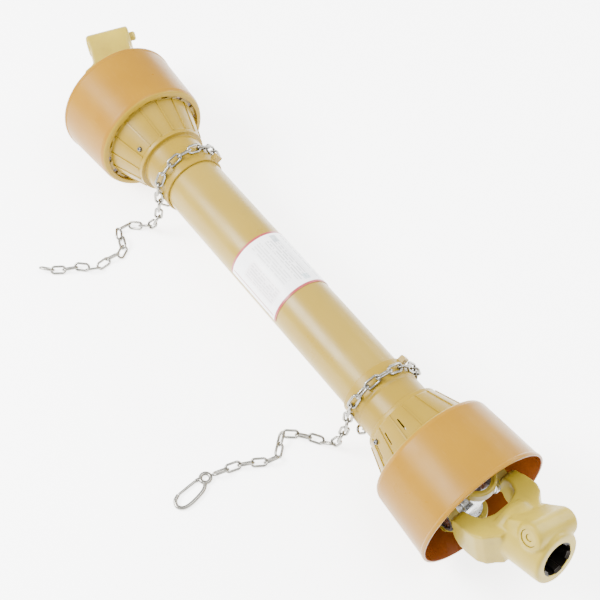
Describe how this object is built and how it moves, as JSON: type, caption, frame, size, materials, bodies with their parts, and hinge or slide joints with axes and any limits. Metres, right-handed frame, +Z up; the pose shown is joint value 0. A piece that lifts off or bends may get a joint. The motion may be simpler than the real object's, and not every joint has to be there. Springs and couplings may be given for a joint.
{
  "type": "universal joint shaft",
  "caption": "Telescopic universal joint drive shaft in a plastic guard, with splined quick-release end yokes, bell ends and safety chains.",
  "frame": {"origin": "centre of the bounding box in plan, on the surface the bells rest on, measured without the chains and hook", "axes": "+X along the shaft to the near end, +Z up, +Y to the side away from the loose chains"},
  "size_m": [0.8635, 0.2993, 0.1497],
  "materials": {
    "yoke": "satin painted forging",
    "tube": "smooth moulded plastic",
    "cone": "smooth moulded plastic",
    "bell": "smooth moulded plastic",
    "steel": "machined steel",
    "dark": "plain dark steel",
    "zinc": "bright zinc plating",
    "nylon": "smooth nylon",
    "label": "printed film with plain bars"
  },
  "bodies": {
    "guard_outer": {"guard_tube_outer": "tube", "base_cone_far": "cone", "bell_far": "bell", "bearing_ring_far": "nylon", "lock_screw_far": "dark", "label": "label", "chain_far": "zinc"},
    "guard_inner": {"guard_tube_inner": "tube", "base_cone_near": "cone", "bell_near": "bell", "bearing_ring_near": "nylon", "lock_screw_near": "dark", "chain_near": "zinc", "hook_body": "zinc"},
    "hook_gate": {"hook_gate": "zinc"},
    "drive_outer": {"tube_yoke_far": "yoke", "drive_tube_outer": "dark", "roll_pin_far": "dark", "bearing_cup_far_c": "steel", "bearing_cup_far_d": "steel", "snap_ring_far_c": "dark", "snap_ring_far_d": "dark"},
    "cross_far": {"cross_far": "steel", "grease_nipple_far": "steel"},
    "end_yoke_far": {"end_yoke_far": "yoke", "pin_spring_far": "dark", "pin_cap_far": "dark", "bearing_cup_far_a": "steel", "bearing_cup_far_b": "steel", "snap_ring_far_a": "dark", "snap_ring_far_b": "dark"},
    "push_pin_far": {"push_pin_far": "steel"},
    "drive_inner": {"tube_yoke_near": "yoke", "drive_tube_inner": "dark", "roll_pin_near": "dark", "bearing_cup_near_c": "steel", "bearing_cup_near_d": "steel", "snap_ring_near_c": "dark", "snap_ring_near_d": "dark"},
    "cross_near": {"cross_near": "steel", "grease_nipple_near": "steel"},
    "end_yoke_near": {"end_yoke_near": "yoke", "pin_spring_near": "dark", "pin_cap_near": "dark", "bearing_cup_near_a": "steel", "bearing_cup_near_b": "steel", "snap_ring_near_a": "dark", "snap_ring_near_b": "dark"},
    "push_pin_near": {"push_pin_near": "steel"}
  },
  "joints": [
    {"name": "guard_telescope", "type": "slide", "parent": "guard_outer", "child": "guard_inner", "axis": [1, 0, 0], "range_m": [0, 0.2]},
    {"name": "drive_spin_far", "type": "hinge", "parent": "guard_outer", "child": "drive_outer", "pos_m": [0, 0, 0.07484], "axis": [1, 0, 0], "continuous": true},
    {"name": "drive_spin_near", "type": "hinge", "parent": "guard_inner", "child": "drive_inner", "pos_m": [0, 0, 0.07484], "axis": [1, 0, 0], "continuous": true},
    {"name": "cross_swing_near", "type": "hinge", "parent": "drive_inner", "child": "cross_near", "pos_m": [0.321, 0, 0.07484], "axis": [0, 0, 1], "range_deg": [-32, 24]},
    {"name": "yoke_swing_near", "type": "hinge", "parent": "cross_near", "child": "end_yoke_near", "pos_m": [0.321, 0, 0.07484], "axis": [-0.0698, 0.9976, 0], "range_deg": [-10, 46]},
    {"name": "push_pin_near", "type": "slide", "parent": "end_yoke_near", "child": "push_pin_near", "axis": [-0.0508, -0.933, 0.3563], "range_m": [0, 0.006], "stiffness_N_per_m": 900, "springref_m": -0.006, "deforming": ["pin_spring_near"]},
    {"name": "cross_swing_far", "type": "hinge", "parent": "drive_outer", "child": "cross_far", "pos_m": [-0.321, 0, 0.07484], "axis": [0, 0, 1], "range_deg": [-7, 49]},
    {"name": "yoke_swing_far", "type": "hinge", "parent": "cross_far", "child": "end_yoke_far", "pos_m": [-0.321, 0, 0.07484], "axis": [-0.3584, -0.9336, 0], "range_deg": [-24, 32]},
    {"name": "push_pin_far", "type": "slide", "parent": "end_yoke_far", "child": "push_pin_far", "axis": [-0.3632, -0.9259, -0.1043], "range_m": [0, 0.006], "stiffness_N_per_m": 900, "springref_m": -0.006, "deforming": ["pin_spring_far"]},
    {"name": "hook_gate_swing", "type": "hinge", "parent": "guard_inner", "child": "hook_gate", "pos_m": [0.11794, -0.19186, 0.0024], "axis": [0, 0, 1], "range_deg": [0, 24], "stiffness_Nm_per_rad": 0.02, "springref_deg": -17.19}
  ],
  "couplings": [
    {"joint": "drive_spin_near", "follows": "drive_spin_far", "ratio": 1}
  ]
}
